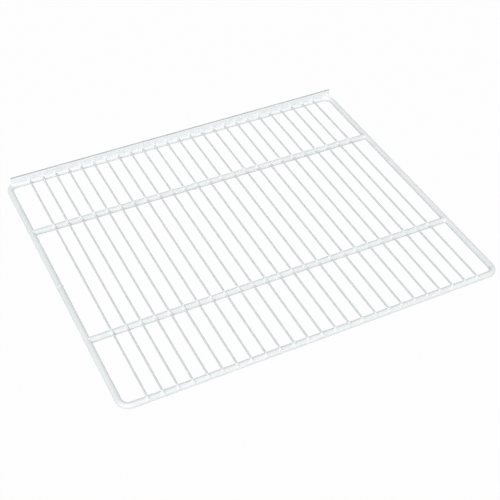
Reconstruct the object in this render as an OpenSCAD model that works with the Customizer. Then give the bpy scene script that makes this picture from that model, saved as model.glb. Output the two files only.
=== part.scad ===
/* [Frame] */
// Overall width of the frame, over the side rods
frame_w = 608.5; // [500:0.5:700]
// Overall depth of the frame, over the front and rear rods
frame_d = 521; // [440:1:600]
// Diameter of the closed frame rod
frame_rod_d = 9.5; // [8:0.5:11]
// Bend radius of the frame corners, on the rod's centre line
corner_r = 14; // [12:1:24]

/* [Butt weld of the frame] */
// Distance of the butt weld behind the front rod's centre line
weld_y = 253; // [200:1:300]
// Length of the upset collar along the rod
weld_len = 7; // [5:0.5:10]
// Height of the collar above the rod's surface
weld_h = 0.8; // [0.4:0.1:1.2]

/* [Cross rods] */
// Diameter of the two rods that carry the deck
cross_rod_d = 9.5; // [7:0.5:9.5]
// Centre line of the front cross rod behind the front rod's centre line
cross_front_y = 133.5; // [90:0.5:160]
// Centre line of the rear cross rod in front of the rear rod's centre line
cross_rear_gap = 129.5; // [100:0.5:150]
// Angle by which the rear cross rod is welded out of square
cross_rear_skew = 0.6; // [-0.6:0.1:0.6]
// Depth to which each end of a cross rod sinks into the side rod's weld
cross_weld_depth = 1.2; // [0.8:0.1:1.6]

/* [Deck wires] */
// Diameter of a deck wire
wire_d = 3; // [2.4:0.1:3.6]
// Gap between each side rod's centre line and the outermost wire's
wire_side_gap = 35.5; // [25:0.5:45]
// Number of deck wires
wire_count = 25; // [21:1:29]
// Depth to which a wire sinks into each rod at its weld
wire_set_down = 0.4; // [0.2:0.1:0.6]
// Rounding of the cut wire ends
wire_end_r = 0.6; // [0.3:0.1:1]
// Distance by which the wires stand out in front of the front rod
wire_front_reach = 2; // [-3:0.5:3]

/* [Rear upstand] */
// Height of the flat strip
upstand_h = 12; // [8:0.5:20]
// Thickness of the flat strip
upstand_t = 4.5; // [2:0.5:6]
// Distance of the strip's left end from the frame's left side
upstand_left_inset = 11; // [1:0.5:25]
// Distance of the strip's right end from the frame's right side
upstand_right_inset = 5; // [1:0.5:25]
// Depth to which the strip's foot sinks into the rear rod at its weld
upstand_set_down = 0.4; // [0.2:0.1:0.6]
// Rounding of the strip's upper edges, as a share of half its thickness
upstand_round = 0.8; // [0.2:0.1:0.9]

/* [Hidden] */
$fn = 64;
two_digits = 10;
wire_names = [
    for (i = [1 : wire_count])
        str("deck_wire_", i < two_digits ? "0" : "", i)
];

// Steps in the arc of a rounded edge
arc_steps = 4;
// Steps along the upset collar
collar_steps = 12;

frame_r = frame_rod_d / 2;
cross_r = cross_rod_d / 2;
wire_r = wire_d / 2;

// The overall depth includes any wire ends that stand out, and the model is centred on it
front_overhang = max(0, wire_front_reach);
overall_d = frame_d + front_overhang;
front_y = -overall_d / 2 + front_overhang + frame_r;
rear_y = front_y + frame_d - frame_rod_d;
side_x = frame_w / 2 - frame_r;

// Rods stand with their tops level, so that the deck lies flat on all of them
frame_z = frame_r;
cross_z = frame_rod_d - cross_r;
wire_z = frame_rod_d + wire_r - wire_set_down;

// The strip stands on edge along the top of the rear rod, and the wires reach its front face
upstand_left_x = -frame_w / 2 + upstand_left_inset;
upstand_len = frame_w - upstand_left_inset - upstand_right_inset;
upstand_face_y = rear_y - upstand_t / 2;
upstand_z = frame_rod_d - upstand_set_down;
upstand_edge_r = upstand_round * upstand_t / 2;

wire_front_y = front_y - frame_r - wire_front_reach;
wire_len = upstand_face_y - wire_front_y;

cross_half_len = side_x - frame_r + cross_weld_depth;
cross_rear_y = rear_y - cross_rear_gap;

// The deck spans the frame from gap to gap, in equal spaces
wire_span = 2 * (side_x - wire_side_gap);
wire_pitch = wire_span / (wire_count - 1);

coating = "white";
shaded_coating = "gainsboro";

// Points of a quarter arc from one angle to another, in order
function arc(cx, cy, r, from, to) = [
    for (i = [0 : arc_steps])
        let (a = from + (to - from) * i / arc_steps)
            [cx + r * cos(a), cy + r * sin(a)]
];

function wire_x(i) = i * wire_pitch - wire_span / 2;

// A rod of radius r along X, centred on the origin
module rod_x(r, len) {
    rotate([0, 90, 0])
        cylinder(r = r, h = len, center = true);
}

// A rod of radius r along Y, centred on the origin
module rod_y(r, len) {
    rotate([90, 0, 0])
        cylinder(r = r, h = len, center = true);
}

// One quarter bend of the frame, turned by the given angle about its own centre
module frame_bend(x, y, turn) {
    translate([x, y, frame_z])
        rotate([0, 0, turn])
            rotate_extrude(angle = 90)
                translate([corner_r, 0])
                    circle(r = frame_r);
}

// The upset collar left where the two ends of the frame rod are butt welded:
// a raised-cosine swelling, turned about the side rod's centre line and dressed flat
// underneath, where the side rod slides on its runner
module butt_weld_collar() {
    swelling = [
        for (i = [0 : collar_steps])
            let (t = i / collar_steps)
                [
                    frame_r + weld_h * (1 - cos(360 * t)) / 2,
                    (t - 0.5) * weld_len
                ]
    ];
    half_bore = frame_r / 2;
    outline = concat([[half_bore, -weld_len / 2]], swelling, [[half_bore, weld_len / 2]]);
    difference() {
        translate([-side_x, front_y + weld_y, frame_z])
            rotate([90, 0, 0])
                rotate_extrude()
                    polygon(outline);
        translate([-side_x, front_y + weld_y, -frame_r])
            cube([2 * frame_rod_d, 2 * weld_len, frame_rod_d], center = true);
    }
}

// The frame rod bent to a closed rectangle, before the deck is welded on
module frame_loop() {
    bend_x = side_x - corner_r;
    bend_front_y = front_y + corner_r;
    bend_rear_y = rear_y - corner_r;
    middle_y = (front_y + rear_y) / 2;
    straight_x = 2 * bend_x;
    straight_y = bend_rear_y - bend_front_y;
    for (y = [front_y, rear_y])
        translate([0, y, frame_z])
            rod_x(frame_r, straight_x);
    for (x = [-side_x, side_x])
        translate([x, middle_y, frame_z])
            rod_y(frame_r, straight_y);
    frame_bend(bend_x, bend_rear_y, 0);
    frame_bend(-bend_x, bend_rear_y, 90);
    frame_bend(-bend_x, bend_front_y, 180);
    frame_bend(bend_x, bend_front_y, 270);
    butt_weld_collar();
}

// The seats that all deck wires press into the rods
module wire_seats() {
    for (i = [0 : wire_count - 1])
        translate([wire_x(i), (wire_front_y + upstand_face_y) / 2, wire_z])
            rod_y(wire_r, wire_len);
}

// The flat that the strip's foot presses into the rear rod
module upstand_land() {
    translate([upstand_left_x, upstand_face_y, upstand_z])
        cube([upstand_len, upstand_t, upstand_h]);
}

module frame_rod() {
    color(shaded_coating)
        difference() {
            frame_loop();
            wire_seats();
            upstand_land();
        }
}

// A cross rod cut square at both ends, which sink into the side rods' welds
module cross_rod(y, skew) {
    end_cut = frame_w;
    difference() {
        translate([0, y, cross_z])
            rotate([0, 0, -skew])
                rod_x(cross_r, frame_w);
        for (side = [-1, 1])
            translate([side * (cross_half_len + end_cut / 2), y, cross_z])
                cube([end_cut, end_cut, 2 * cross_rod_d], center = true);
        for (x = [-side_x, side_x])
            translate([x, y, frame_z])
                rod_y(frame_r, end_cut);
        wire_seats();
    }
}

module cross_rod_front() {
    color(coating)
        cross_rod(front_y + cross_front_y, 0);
}

module cross_rod_rear() {
    color(coating)
        cross_rod(cross_rear_y, cross_rear_skew);
}

// A flat strip on edge along the top of the rear rod, square at its foot and rounded above
module rear_upstand() {
    section = concat(
        [[0, 0], [0, upstand_h - upstand_edge_r]],
        arc(upstand_edge_r, upstand_h - upstand_edge_r, upstand_edge_r, 180, 90),
        arc(upstand_t - upstand_edge_r, upstand_h - upstand_edge_r, upstand_edge_r, 90, 0),
        [[upstand_t, 0]]
    );
    color(coating)
        translate([upstand_left_x, upstand_face_y, upstand_z])
            rotate([90, 0, 90])
                linear_extrude(height = upstand_len)
                    polygon(section);
}

// A straight wire with rounded ends, from the front rod to the strip
module deck_wire(i) {
    outline = concat(
        [[0, 0]],
        arc(wire_r - wire_end_r, wire_end_r, wire_end_r, -90, 0),
        arc(wire_r - wire_end_r, wire_len - wire_end_r, wire_end_r, 0, 90),
        [[0, wire_len]]
    );
    color(coating)
        translate([wire_x(i), upstand_face_y, wire_z])
            rotate([90, 0, 0])
                rotate_extrude()
                    polygon(outline);
}

frame_rod();
cross_rod_front();
cross_rod_rear();
rear_upstand();
for (i = [0 : wire_count - 1])
    deck_wire(i);
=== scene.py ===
import bpy
import numpy as np
from mathutils import Matrix, Vector


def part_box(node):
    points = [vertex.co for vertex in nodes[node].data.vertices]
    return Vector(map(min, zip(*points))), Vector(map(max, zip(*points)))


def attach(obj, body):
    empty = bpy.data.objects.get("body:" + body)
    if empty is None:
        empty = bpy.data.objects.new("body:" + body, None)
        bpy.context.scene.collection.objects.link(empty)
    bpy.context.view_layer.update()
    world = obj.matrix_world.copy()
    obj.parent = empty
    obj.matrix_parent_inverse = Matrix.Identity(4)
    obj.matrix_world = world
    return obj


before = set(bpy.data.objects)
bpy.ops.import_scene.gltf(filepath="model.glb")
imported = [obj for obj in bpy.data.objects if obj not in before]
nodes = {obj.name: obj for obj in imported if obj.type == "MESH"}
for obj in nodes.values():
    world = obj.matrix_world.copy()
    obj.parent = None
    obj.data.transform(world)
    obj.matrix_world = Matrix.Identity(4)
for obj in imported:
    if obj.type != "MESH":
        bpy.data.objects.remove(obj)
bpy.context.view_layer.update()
mm = 0.001
fullTurn = 2 * np.pi
plainWhite = (1, 1, 1, 1)
print("shelf: frame loaded,", len(nodes), "solids")


# Everything that the looks need to know about the solids is read from their boxes, in millimetres.

def nodeBox(name):
    low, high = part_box(name)
    return np.array(low) / mm, np.array(high) / mm


wireNames = sorted(name for name in nodes if name.startswith("deck_wire_"))
frameLow, frameHigh = nodeBox("frame_rod")
stripLow, stripHigh = nodeBox("rear_upstand")
wireLow, wireHigh = nodeBox(wireNames[0])
crossFrontLow, crossFrontHigh = nodeBox("cross_rod_front")
crossRearLow, crossRearHigh = nodeBox("cross_rod_rear")

wireRadius = (wireHigh[0] - wireLow[0]) / 2
wireHeight = (wireLow[2] + wireHigh[2]) / 2
wirePlaces = np.array([(nodeBox(name)[0][0] + nodeBox(name)[1][0]) / 2 for name in wireNames])
rodRadius = (crossFrontHigh[2] - crossFrontLow[2]) / 2
rodHeight = (crossFrontLow[2] + crossFrontHigh[2]) / 2
sideRodPlace = frameHigh[0] - rodRadius
frontRodPlace = frameLow[1] + rodRadius
rearRodPlace = frameHigh[1] - rodRadius
stripFace = stripLow[1]
stripBack = stripHigh[1]
crossFrontPlace = (crossFrontLow[1] + crossFrontHigh[1]) / 2
crossRearPlace = (crossRearLow[1] + crossRearHigh[1]) / 2
crossRearLean = (crossRearHigh[1] - crossRearLow[1] - 2 * rodRadius) / (crossRearHigh[0] - crossRearLow[0])
crossRodEnd = crossFrontHigh[0]


# Camera: its place in metres, its lens and sensor in millimetres

cameraSettings = {
    "place": (-0.55158, -1.12361, 1.10152),
    "right": (0.89646, -0.44305, 0.00798),
    "up": (0.2935, 0.60718, 0.73837),
    "lens": 76.5,
    "sensorWidth": 36,
    "farthest": 50,
}


def makeCamera(settings):
    right = Vector(settings["right"]).normalized()
    up = Vector(settings["up"])
    up = (up - right * up.dot(right)).normalized()
    back = right.cross(up)
    camera = bpy.data.objects.new("shelfCamera", bpy.data.cameras.new("shelfCamera"))
    camera.data.lens = settings["lens"]
    camera.data.sensor_width = settings["sensorWidth"]
    camera.data.clip_end = settings["farthest"]
    turned = Matrix((right, up, back)).transposed().to_4x4()
    camera.matrix_world = Matrix.Translation(settings["place"]) @ turned
    bpy.context.scene.collection.objects.link(camera)
    bpy.context.scene.camera = camera


makeCamera(cameraSettings)
bpy.context.scene.view_settings.view_transform = "Standard"
print("shelf: camera set")


# Node helpers: a value is a number or a colour to set, or another node's output to link

def feed(tree, socket, value):
    if isinstance(value, (int, float, tuple)):
        socket.default_value = value
    else:
        tree.links.new(value, socket)


def mathNode(tree, operation, first, second=None):
    node = tree.nodes.new("ShaderNodeMath")
    node.operation = operation
    feed(tree, node.inputs[0], first)
    if second is not None:
        feed(tree, node.inputs[1], second)
    return node.outputs[0]


def rangeNode(tree, value, fromLow, fromHigh, toLow=0.0, toHigh=1.0, change="SMOOTHSTEP"):
    node = tree.nodes.new("ShaderNodeMapRange")
    node.interpolation_type = change
    feed(tree, node.inputs["Value"], value)
    feed(tree, node.inputs["From Min"], fromLow)
    feed(tree, node.inputs["From Max"], fromHigh)
    feed(tree, node.inputs["To Min"], toLow)
    feed(tree, node.inputs["To Max"], toHigh)
    return node.outputs["Result"]


def splitNode(tree, vector):
    split = tree.nodes.new("ShaderNodeSeparateXYZ")
    tree.links.new(vector, split.inputs[0])
    return split.outputs


def objectPlace(tree):
    return tree.nodes.new("ShaderNodeTexCoord").outputs["Object"]


# Floor and light, in metres and watts

studioSettings = {
    "floorHalfSize": 6.0,
    "floorColour": (0.6, 0.6, 0.6, 1),
    "whiteShare": 0.97,  # the rest shows the shelf's shadow
    "roomColour": (0.965, 1.0, 1.0, 1),
    "roomStrength": 0.32,
    "sideStrength": 0.66,  # added from the left and right, times the direction's X to the power of sideFalloff
    "sideFalloff": 2,
    "softboxes": {
        "keySoftbox": {"place": (-4.0, -7.9, 8.1), "size": 6.0, "power": 900},
    },
}


def whiteForSight(tree, lit, whiteKind, share):
    # rays that show the ground to the eye, in a mirror or through glass see plain white in the given share
    path = tree.nodes.new("ShaderNodeLightPath").outputs
    seen = mathNode(tree, "MAXIMUM", path["Is Camera Ray"], path["Is Glossy Ray"])
    through = mathNode(tree, "MAXIMUM", seen, path["Is Transmission Ray"])
    white = tree.nodes.new(whiteKind)
    white.inputs["Color"].default_value = plainWhite
    white.inputs["Strength"].default_value = 1
    mix = tree.nodes.new("ShaderNodeMixShader")
    tree.links.new(mathNode(tree, "MULTIPLY", through, share), mix.inputs[0])
    tree.links.new(lit, mix.inputs[1])
    tree.links.new(white.outputs[0], mix.inputs[2])
    return mix.outputs[0]


def makeFloor(settings):
    material = bpy.data.materials.new("paleFloor")
    material.use_nodes = True
    tree = material.node_tree
    tree.nodes.clear()
    card = tree.nodes.new("ShaderNodeBsdfDiffuse")
    card.inputs["Color"].default_value = settings["floorColour"]
    shown = whiteForSight(tree, card.outputs[0], "ShaderNodeEmission", settings["whiteShare"])
    tree.links.new(shown, tree.nodes.new("ShaderNodeOutputMaterial").inputs["Surface"])
    half = settings["floorHalfSize"]
    corners = [(-half, -half, 0), (half, -half, 0), (half, half, 0), (-half, half, 0)]
    mesh = bpy.data.meshes.new("paleFloor")
    mesh.from_pydata(corners, [], [(0, 1, 2, 3)])
    mesh.materials.append(material)
    floor = bpy.data.objects.new("paleFloor", mesh)
    bpy.context.scene.collection.objects.link(floor)


def makeRoomLight(settings):
    world = bpy.data.worlds.new("studioRoom")
    bpy.context.scene.world = world
    world.use_nodes = True
    tree = world.node_tree
    tree.nodes.clear()
    room = tree.nodes.new("ShaderNodeBackground")
    room.inputs["Color"].default_value = settings["roomColour"]
    direction = splitNode(tree, tree.nodes.new("ShaderNodeTexCoord").outputs["Generated"])
    sideways = mathNode(tree, "POWER", mathNode(tree, "ABSOLUTE", direction["X"]), settings["sideFalloff"])
    sideLight = mathNode(tree, "MULTIPLY", sideways, settings["sideStrength"])
    roomLight = mathNode(tree, "ADD", sideLight, settings["roomStrength"])
    tree.links.new(roomLight, room.inputs["Strength"])
    shown = whiteForSight(tree, room.outputs[0], "ShaderNodeBackground", 1)
    tree.links.new(shown, tree.nodes.new("ShaderNodeOutputWorld").inputs["Surface"])


def makeSoftbox(name, settings):
    lamp = bpy.data.lights.new(name, "AREA")
    lamp.shape = "SQUARE"
    lamp.size = settings["size"]
    lamp.energy = settings["power"]
    box = bpy.data.objects.new(name, lamp)
    box.location = settings["place"]
    box.rotation_euler = (-Vector(settings["place"])).to_track_quat("-Z", "Y").to_euler()
    bpy.context.scene.collection.objects.link(box)


makeFloor(studioSettings)
makeRoomLight(studioSettings)
for name, softbox in studioSettings["softboxes"].items():
    makeSoftbox(name, softbox)
print("shelf: floor and lights set")


# Finishes: all pieces have one white dipped coating, so its surface is a group that each material sets
# for itself

def newGroup(name, inputs, outputs):
    group = bpy.data.node_groups.new(name, "ShaderNodeTree")
    for label, default in inputs:
        socket = group.interface.new_socket(name=label, in_out="INPUT", socket_type="NodeSocketFloat")
        socket.default_value = default
    for label in outputs:
        group.interface.new_socket(name=label, in_out="OUTPUT", socket_type="NodeSocketFloat")
    inside = group.nodes.new("NodeGroupInput").outputs
    outside = group.nodes.new("NodeGroupOutput").inputs
    return group, inside, outside


def placeGroup(tree, group, values):
    node = tree.nodes.new("ShaderNodeGroup")
    node.node_tree = group
    for label, value in values.items():
        node.inputs[label].default_value = value
    return node.outputs


def noiseNode(tree, place, scale, detail, stretch=(1, 1, 1)):
    mapping = tree.nodes.new("ShaderNodeMapping")
    mapping.inputs["Scale"].default_value = stretch
    tree.links.new(place, mapping.inputs["Vector"])
    noise = tree.nodes.new("ShaderNodeTexNoise")
    noise.inputs["Detail"].default_value = detail
    tree.links.new(scale, noise.inputs["Scale"])
    tree.links.new(mapping.outputs[0], noise.inputs["Vector"])
    return noise.outputs["Fac"]


dippedSettings = {
    "filmDetail": 3,
    "filmHeight": 0.6,
    "peelDetail": 2,
    "peelHeight": 0.25,
    "nibCore": 0.04,
    "nibEdge": 0.13,
    "nibsLeftOut": 0.72,
}


def makeDippedCoatingGroup(settings):
    # film: slow thick and thin places; peel: the fine orange peel; nibs: a few specks under the coating
    group, inside, outside = newGroup(
        "dippedCoating",
        [("Film Scale", 60), ("Peel Scale", 700), ("Nib Scale", 150), ("Nib Height", 0.5)],
        ["Film", "Height"],
    )
    place = objectPlace(group)
    film = noiseNode(group, place, inside["Film Scale"], settings["filmDetail"])
    peel = noiseNode(group, place, inside["Peel Scale"], settings["peelDetail"])
    cells = group.nodes.new("ShaderNodeTexVoronoi")
    group.links.new(place, cells.inputs["Vector"])
    group.links.new(inside["Nib Scale"], cells.inputs["Scale"])
    speck = rangeNode(group, cells.outputs["Distance"], settings["nibCore"], settings["nibEdge"], 1, 0)
    chosen = mathNode(group, "GREATER_THAN", cells.outputs["Color"], settings["nibsLeftOut"])
    nibs = mathNode(group, "MULTIPLY", mathNode(group, "MULTIPLY", speck, chosen), inside["Nib Height"])
    slow = mathNode(group, "MULTIPLY", film, settings["filmHeight"])
    fine = mathNode(group, "MULTIPLY", peel, settings["peelHeight"])
    height = mathNode(group, "ADD", mathNode(group, "ADD", fine, slow), nibs)
    group.links.new(film, outside["Film"])
    group.links.new(height, outside["Height"])
    return group


rubAndLowShadeSettings = {
    "streakDetail": 4,
    "streakStretch": (24, 0.7, 24),
    "patchStart": 0.42,
    "patchFull": 0.62,
}


def makeRunnerRubGroup(settings):
    # 1 low on the piece, in streaks along the sliding way: rub marks where the underside has slid on its
    # runners, and painted shade on the lower side where the height reaches up it
    group, inside, outside = newGroup(
        "runnerRub",
        [("Rub Height", 0.0009), ("Streak Scale", 40)],
        ["Rub", "Scratch"],
    )
    place = objectPlace(group)
    low = rangeNode(group, splitNode(group, place)["Z"], 0, inside["Rub Height"], 1, 0, "LINEAR")
    streaks = noiseNode(
        group, place, inside["Streak Scale"], settings["streakDetail"], settings["streakStretch"],
    )
    patches = rangeNode(group, streaks, settings["patchStart"], settings["patchFull"])
    rubAndShade = mathNode(group, "MULTIPLY", low, patches)
    group.links.new(rubAndShade, outside["Rub"])
    group.links.new(mathNode(group, "MULTIPLY", rubAndShade, streaks), outside["Scratch"])
    return group


def makeNearLineGroup():
    # 1 within Full of a line across the shelf and 0 beyond None; the line lies at y = Line - Lean * x
    group, inside, outside = newGroup(
        "nearLine",
        [("Line", 0), ("Lean", 0), ("Full", 0.003), ("None", 0.007)],
        ["Near"],
    )
    place = splitNode(group, objectPlace(group))
    turned = mathNode(group, "ADD", place["Y"], mathNode(group, "MULTIPLY", place["X"], inside["Lean"]))
    away = mathNode(group, "ABSOLUTE", mathNode(group, "SUBTRACT", turned, inside["Line"]))
    group.links.new(rangeNode(group, away, inside["Full"], inside["None"], 1, 0), outside["Near"])
    return group


dippedCoating = makeDippedCoatingGroup(dippedSettings)
runnerRub = makeRunnerRubGroup(rubAndLowShadeSettings)
nearLine = makeNearLineGroup()

# Lengths are in millimetres, and the scales of the film, peel and nibs are counts to the metre.
paintedLightShift = 4  # the painted light lies on the front of each crossing
coatingSettings = {
    "rodCoating": {
        "thick": (0.875, 0.885, 0.892, 1),
        "thin": (0.835, 0.848, 0.858, 1),
        # on the rods the rubbed colour reaches up the lower side: rub marks there, and painted shade
        "rubbedAndShaded": (0.56, 0.575, 0.58, 1),
        "filmScale": 55, "peelScale": 620, "nibScale": 120, "rubAndShadeHeight": 3.6,
        "glossLow": 0.30, "glossHigh": 0.42, "bump": 0.30,
        # painted light along the rear rod
        "paintedLight": (0.94, 0.948, 0.953, 1), "paintedLightFull": 5.5, "paintedLightNone": 9.0,
        "paintedLightLines": [(rearRodPlace, 0)],
    },
    "wireCoating": {
        # the wires' coating is darker than the same coating on the rods, as painted shade along the wires
        "thick": (0.75, 0.768, 0.772, 1),
        "thin": (0.69, 0.71, 0.715, 1),
        "rubbedAndShaded": (0.70, 0.71, 0.71, 1),
        "filmScale": 90, "peelScale": 900, "nibScale": 200, "rubAndShadeHeight": 0.1,
        "glossLow": 0.32, "glossHigh": 0.44, "bump": 0.22,
        # painted light where the wires lie over the rods and meet the strip
        "paintedLight": (0.95, 0.96, 0.965, 1), "paintedLightFull": 3.0, "paintedLightNone": 6.5,
        "paintedLightLines": [
            (frontRodPlace - paintedLightShift, 0),
            (crossFrontPlace - paintedLightShift, 0),
            (crossRearPlace - paintedLightShift, crossRearLean),
            (stripFace, 0),
        ],
    },
    "stripCoating": {
        # the strip's coating is lighter than the same coating on the rods, as painted light on its front face
        "thick": (0.96, 0.97, 0.975, 1),
        "thin": (0.93, 0.942, 0.95, 1),
        "rubbedAndShaded": (0.70, 0.71, 0.71, 1),
        "filmScale": 40, "peelScale": 560, "nibScale": 110, "rubAndShadeHeight": 0.6,
        "glossLow": 0.30, "glossHigh": 0.40, "bump": 0.34,
        # painted shade along the strip's upper edge
        "paintedEdgeShade": (0.50, 0.52, 0.525, 1), "edgeBelow": 0.9, "edgeAbove": 0.6, "edgeWander": 0.8,
    },
    "weldCoating": {
        "thick": (0.92, 0.93, 0.935, 1),
        "thin": (0.88, 0.892, 0.898, 1),
        "rubbedAndShaded": (0.70, 0.71, 0.71, 1),
        "filmScale": 240, "peelScale": 1100, "nibScale": 320, "rubAndShadeHeight": 0.3,
        "glossLow": 0.34, "glossHigh": 0.48, "bump": 0.42,
    },
}
allCoatings = {
    "filmThin": 0.35, "filmThick": 0.65,
    "glossThin": 0.3, "glossThick": 0.7,
    "rubRoughness": 0.2,
    "bumpDistance": 0.05,
    "refraction": 1.5,
}


def mixColours(tree, factor, first, second):
    mix = tree.nodes.new("ShaderNodeMix")
    mix.data_type = "RGBA"
    tree.links.new(factor, mix.inputs["Factor"])
    feed(tree, mix.inputs[6], first)
    feed(tree, mix.inputs[7], second)
    return mix.outputs[2]


def paintedEdgeShadeMask(tree, settings, film):
    # the strip's upper edge is painted a darker grey in an uneven line: painted shade along its top
    wander = mathNode(tree, "MULTIPLY", film, settings["edgeWander"] * mm)
    height = mathNode(tree, "ADD", splitNode(tree, objectPlace(tree))["Z"], wander)
    start = (stripHigh[2] - settings["edgeBelow"]) * mm
    full = (stripHigh[2] + settings["edgeAbove"]) * mm
    return rangeNode(tree, height, start, full)


def paintedLightMask(tree, settings):
    # painted light: lighter where a wire lies over a rod or meets the strip, and along the rear rod at the
    # strip's foot
    mask = None
    for line, lean in settings["paintedLightLines"]:
        near = placeGroup(tree, nearLine, {
            "Line": line * mm,
            "Lean": lean,
            "Full": settings["paintedLightFull"] * mm,
            "None": settings["paintedLightNone"] * mm,
        })["Near"]
        mask = near if mask is None else mathNode(tree, "MAXIMUM", mask, near)
    return mask


def makeCoating(name, settings, shared):
    material = bpy.data.materials.new(name)
    material.use_nodes = True
    tree = material.node_tree
    shader = tree.nodes["Principled BSDF"]
    coat = placeGroup(tree, dippedCoating, {
        "Film Scale": settings["filmScale"],
        "Peel Scale": settings["peelScale"],
        "Nib Scale": settings["nibScale"],
    })
    rubAndShade = placeGroup(tree, runnerRub, {"Rub Height": settings["rubAndShadeHeight"] * mm})
    film = rangeNode(tree, coat["Film"], shared["filmThin"], shared["filmThick"])
    colour = mixColours(tree, film, settings["thin"], settings["thick"])
    # runner rub marks, and on the rods painted shade on the lower side
    colour = mixColours(tree, rubAndShade["Rub"], colour, settings["rubbedAndShaded"])
    # painted light near the listed lines
    if "paintedLight" in settings:
        colour = mixColours(tree, paintedLightMask(tree, settings), colour, settings["paintedLight"])
    # painted shade along the strip's upper edge
    if "paintedEdgeShade" in settings:
        colour = mixColours(tree, paintedEdgeShadeMask(tree, settings, coat["Film"]), colour, settings["paintedEdgeShade"])
    tree.links.new(colour, shader.inputs["Base Color"])
    gloss = rangeNode(
        tree, coat["Film"], shared["glossThin"], shared["glossThick"],
        settings["glossHigh"], settings["glossLow"],
    )
    rough = mathNode(tree, "ADD", gloss, mathNode(tree, "MULTIPLY", rubAndShade["Rub"], shared["rubRoughness"]))
    tree.links.new(rough, shader.inputs["Roughness"])
    bump = tree.nodes.new("ShaderNodeBump")
    bump.inputs["Strength"].default_value = settings["bump"]
    bump.inputs["Distance"].default_value = shared["bumpDistance"] * mm
    tree.links.new(mathNode(tree, "SUBTRACT", coat["Height"], rubAndShade["Scratch"]), bump.inputs["Height"])
    tree.links.new(bump.outputs["Normal"], shader.inputs["Normal"])
    shader.inputs["IOR"].default_value = shared["refraction"]
    return material


coatings = {name: makeCoating(name, settings, allCoatings) for name, settings in coatingSettings.items()}
ownCoatings = dict.fromkeys(wireNames, "wireCoating") | {"rear_upstand": "stripCoating"}
for name, node in nodes.items():
    for slot in node.material_slots:
        slot.material = coatings[ownCoatings.get(name, "rodCoating")]
print("shelf: coatings on", len(nodes), "solids")


# Weld and coating detail, worked out as grids of points in millimetres: copies x rows x columns x 3.
# Columns always close on themselves. Rows close too when loopRows is set, and otherwise the first and
# last rows are poles, each a single point.

def gridQuads(rows, columns, loopRows):
    column = np.arange(columns)
    nextColumn = (column + 1) % columns
    row = np.arange(rows if loopRows else rows - 1)[:, None]
    nextRow = (row + 1) % rows
    return np.stack([
        row * columns + column,
        row * columns + nextColumn,
        nextRow * columns + nextColumn,
        nextRow * columns + column,
    ], -1).reshape(-1, 4)


def meshFromGrids(name, grids, loopRows):
    copies, rows, columns, _ = grids.shape
    if loopRows:
        spots = grids.reshape(copies, -1, 3)
        patterns = [gridQuads(rows, columns, True)]
    else:
        poles = grids[:, [0, -1], 0]
        spots = np.concatenate([grids[:, 1:-1].reshape(copies, -1, 3), poles], 1)
        firstPole, lastPole = spots.shape[1] - 2, spots.shape[1] - 1
        column = np.arange(columns)
        nextColumn = (column + 1) % columns
        lastRow = firstPole - columns
        patterns = [
            gridQuads(rows - 2, columns, False),
            np.stack([np.full(columns, firstPole), nextColumn, column], -1),
            np.stack([np.full(columns, lastPole), lastRow + column, lastRow + nextColumn], -1),
        ]
    start = np.arange(copies)[:, None, None] * spots.shape[1]
    faces = []
    for pattern in patterns:
        faces += (pattern[None] + start).reshape(-1, pattern.shape[1]).tolist()
    mesh = bpy.data.meshes.new(name)
    mesh.from_pydata((spots.reshape(-1, 3) * mm).tolist(), [], faces)
    mesh.polygons.foreach_set("use_smooth", np.ones(len(mesh.polygons), bool))
    mesh.materials.append(coatings["weldCoating"])
    mesh.update()
    piece = bpy.data.objects.new(name, mesh)
    bpy.context.scene.collection.objects.link(piece)
    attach(piece, "root")


def facesOutward(grids, loopRows):
    # the sign of the enclosed volume, from the first copy's faces as meshFromGrids lays them
    a = grids[0]
    b = np.roll(a, -1, 1)
    c, d = np.roll(b, -1, 0), np.roll(a, -1, 0)
    if not loopRows:
        a, b, c, d = a[:-1], b[:-1], c[:-1], d[:-1]
    firstHalves = np.einsum("...i,...i", a, np.cross(b, c))
    secondHalves = np.einsum("...i,...i", a, np.cross(c, d))
    return (firstHalves + secondHalves).sum() > 0


def placeGrids(name, grids, loopRows):
    if not facesOutward(grids - grids.mean((0, 1, 2)), loopRows):
        grids = grids[:, :, ::-1]
    meshFromGrids(name, grids, loopRows)


def stepsAround(settings):
    return np.arange(settings["aroundSteps"]) / settings["aroundSteps"] * fullTurn


def bentCurve(start, middle, end, share):
    # for each share of the way s: start times (1 - s) squared, middle times 2 s (1 - s), end times s squared
    return (1 - share) ** 2 * start + 2 * share * (1 - share) * middle + share ** 2 * end


wireWeldSettings = {
    "halfAcross": 2.7,
    "halfAlong": 3.5,
    "hollow": 1.5,
    "unevenness": 0.12,
    "unevenLimit": 2,  # in standard deviations
    "lobeDepth": 0.06,
    "lobeCount": 2,
    "sink": 0.04,
    "depth": 1.2,
    "poleDepth": 1.8,  # times depth, below the rod's top
    "footShare": 0.5,
    "aroundSteps": 16,
    "downSteps": 6,
    "seed": 4,
}


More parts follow.
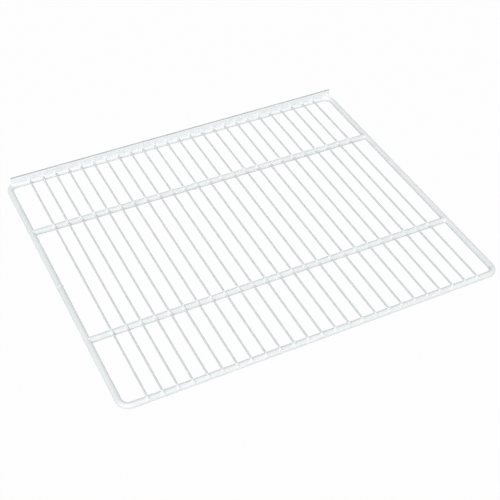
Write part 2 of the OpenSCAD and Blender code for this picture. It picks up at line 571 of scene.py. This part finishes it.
def makeSkirts(name, settings, places, seed):
    # A skirt round each crossing: its height over the rod below falls from the crown, inside the piece
    # above, to nothing at an oval foot, as (1 - share of the way out) to the power of hollow, and it closes
    # inside the rod.
    rng = np.random.default_rng(seed)
    copies = len(wirePlaces)
    around = stepsAround(settings)
    out = np.linspace(0, 1, settings["downSteps"] + 1)
    uneven = np.clip(rng.standard_normal((copies, 1)), -settings["unevenLimit"], settings["unevenLimit"])
    growth = 1 + settings["unevenness"] * uneven
    waves = np.cos(settings["lobeCount"] * around[None] + fullTurn * rng.random((copies, 1)))
    lobes = 1 + settings["lobeDepth"] * waves
    halfX = settings["halfAcross"] * growth * lobes
    halfY = settings["halfAlong"] * growth * lobes
    x = out[None, :, None] * (halfX * np.cos(around))[:, None]
    y = out[None, :, None] * (halfY * np.sin(around))[:, None]
    surface = rodHeight + np.sqrt(np.maximum(rodRadius ** 2 - y ** 2, 0))
    fall = (1 - out[None, :, None]) ** settings["hollow"]
    skirt = np.stack([x, y, surface + (wireHeight - surface) * fall - settings["sink"]], -1)
    foot = settings["footShare"]
    bottom = skirt[:, -1:] * [foot, foot, 1] - [0, 0, settings["depth"]]
    poleHeight = rodHeight + rodRadius - settings["poleDepth"] * settings["depth"]
    pole = np.zeros_like(bottom) + [0, 0, poleHeight]
    grids = np.concatenate([skirt, bottom, pole], 1)
    grids[..., 0] += wirePlaces[:, None, None]
    grids[..., 1] += places[:, None, None]
    grids[:, 0] = grids[:, 0, :1]
    grids[:, -1] = grids[:, -1, :1]
    placeGrids(name, grids, False)


wireCrossings = {
    "wireWeldsFrontRod": (frontRodPlace, 0),
    "wireWeldsFrontCrossRod": (crossFrontPlace, 0),
    "wireWeldsRearCrossRod": (crossRearPlace, crossRearLean),
}
for number, (name, (place, lean)) in enumerate(wireCrossings.items()):
    makeSkirts(name, wireWeldSettings, place - lean * wirePlaces, wireWeldSettings["seed"] + number)
print("shelf: wire welds made")

wireEndSettings = {
    "reach": 1.0,
    "flare": 0.6,
    "sink": 0.3,
    "coreReach": 0.5,  # times reach
    "coreShare": 0.6,
    "aroundSteps": 16,
    "outSteps": 6,
}


def makeWireEndWelds(name, settings):
    # A ring where each wire meets the strip: a quarter curve from the wire's side out to the strip's face,
    # carried round the wire's centre line and closed inside the metal.
    turn = np.linspace(0, np.pi / 2, settings["outSteps"])
    back = settings["reach"] * (1 - np.sin(turn))
    radius = wireRadius + settings["flare"] * (1 - np.cos(turn))
    core = wireRadius * settings["coreShare"]
    back = np.append(back, [-settings["sink"], settings["reach"] * settings["coreReach"]])
    radius = np.append(radius, [core, core])
    around = stepsAround(settings)
    x = radius[:, None] * np.cos(around)
    z = radius[:, None] * np.sin(around) + wireHeight
    y = np.broadcast_to(stripFace - back[:, None], x.shape)
    grids = np.repeat(np.stack([x, y, z], -1)[None], len(wirePlaces), 0)
    grids[..., 0] += wirePlaces[:, None, None]
    placeGrids(name, grids, True)


makeWireEndWelds("wireEndWelds", wireEndSettings)

crossWeldSettings = {
    "reach": 2.4,
    "spread": 1.7,
    "inside": 0.7,
    "ripple": 0.12,  # two waves multiplied, the first one turned on from end to end
    "firstWaves": 5,
    "firstShift": 2,
    "secondWaves": 3,
    "endRoom": 0.8,  # how far short of the rod's end the fillet may start
    "onSideShare": 0.995,  # of the height, so that the rows stay apart at the rod's top and foot
    "onRodShare": 0.999,
    "cornerShare": 0.998,
    "cornerFlare": 1.02,
    "cornerGap": 0.1,
    "coreShare": 0.8,
    "aroundSteps": 40,
    "outSteps": 8,
}


def makeCrossRodWelds(name, settings, ends):
    # A fillet round each end of a cross rod: for each turn about the rod, a curve from the rod's side
    # through the inner corner to the side rod's surface, closed inside the metal.
    around = stepsAround(settings)
    across = rodRadius * np.cos(around)
    height = rodRadius * np.sin(around)
    sideHeight = settings["onSideShare"] * height
    surface = sideRodPlace - np.sqrt(np.maximum(rodRadius ** 2 - sideHeight ** 2, 0))
    share = np.linspace(0, 1, settings["outSteps"])[:, None, None]
    core = settings["coreShare"]
    sections = []
    for number, (side, place) in enumerate(ends):
        wave = np.sin(settings["firstWaves"] * around + settings["firstShift"] * number)
        uneven = 1 + settings["ripple"] * wave * np.sin(settings["secondWaves"] * around)
        start = np.minimum(surface - settings["reach"] * uneven, crossRodEnd - settings["endRoom"])
        spread = (rodRadius + settings["spread"] * uneven) * np.cos(around)
        onRod = np.stack([start, across, height * settings["onRodShare"]], -1)
        onSide = np.stack([surface, spread, sideHeight], -1)
        corner = np.stack([
            surface - settings["cornerGap"],
            across * settings["cornerFlare"],
            height * settings["cornerShare"],
        ], -1)
        inner = np.stack([
            onSide * [1, 1, core] + [settings["inside"], 0, 0],
            onRod * [1, core, core],
        ])
        section = np.concatenate([bentCurve(onRod, corner, onSide, share), inner])
        section = section * [side, 1, 1] + [0, place, rodHeight]
        sections.append(section if side > 0 else section[:, ::-1])
    placeGrids(name, np.array(sections), True)


rearSpread = crossRearLean * sideRodPlace
makeCrossRodWelds("crossRodWelds", crossWeldSettings, [
    (-1, crossFrontPlace),
    (1, crossFrontPlace),
    (-1, crossRearPlace + rearSpread),
    (1, crossRearPlace - rearSpread),
])
print("shelf: cross rod welds made")

seamSettings = {
    "climb": 1.2,
    "drop": 1.6,
    "inset": 0.8,
    "step": 3.0,
    "bendRoom": 15.0,
    "waviness": 0.18,
    "waveLengths": (9.0, 23.0, 61.0),
    "sink": 0.05,
    "hollowOut": 0.2,
    "hollowUp": 0.15,
    "rodCore": [0.3, 0.9],  # in and down from the curve's foot on the rod
    "stripCore": [0.5, 0.6],  # in and down from the corner
    "curveSteps": 6,
    "seed": 11,
}


def makeStripSeam(name, settings, side, stripSide):
    # Coating drawn into the corner between the rear rod's top and one side of the strip: a hollow curve
    # from the strip's side out to the rod, carried along the strip; its width wanders as a sum of three
    # slow waves.
    rng = np.random.default_rng(settings["seed"] + side)
    x = np.arange(stripLow[0] + settings["inset"], stripHigh[0] - settings["inset"], settings["step"])
    x = x[np.abs(x) < sideRodPlace - settings["bendRoom"]]
    along = np.zeros_like(x)
    lengths = settings["waveLengths"]
    waves = sum(np.sin(x / length + fullTurn * rng.random()) for length in lengths) / len(lengths)
    growth = 1 + settings["waviness"] * waves
    offset = abs(stripSide - rearRodPlace)
    corner = rodHeight + np.sqrt(rodRadius ** 2 - offset ** 2)
    outward = offset + settings["drop"] * growth
    onRod = np.stack([outward, rodHeight + np.sqrt(rodRadius ** 2 - outward ** 2) - settings["sink"]], -1)
    onStrip = np.stack([offset - settings["sink"] + along, corner + settings["climb"] * growth], -1)
    middle = np.stack([offset + settings["hollowOut"] + along, corner + settings["hollowUp"] + along], -1)
    inStrip = np.stack([offset + along, corner + along], -1) - settings["stripCore"]
    share = np.linspace(0, 1, settings["curveSteps"])[:, None, None]
    inner = np.stack([onRod - settings["rodCore"], inStrip])
    section = np.concatenate([bentCurve(onStrip, middle, onRod, share), inner])
    y = rearRodPlace + side * section[..., 0]
    grid = np.swapaxes(np.stack([np.broadcast_to(x, y.shape), y, section[..., 1]], -1), 0, 1)
    start = np.broadcast_to(grid[:1].mean(1, keepdims=True), grid[:1].shape)
    finish = np.broadcast_to(grid[-1:].mean(1, keepdims=True), grid[-1:].shape)
    placeGrids(name, np.concatenate([start, grid, finish])[None], False)


makeStripSeam("stripSeamFront", seamSettings, -1, stripFace)
makeStripSeam("stripSeamBack", seamSettings, 1, stripBack)
print("shelf: strip seams made")
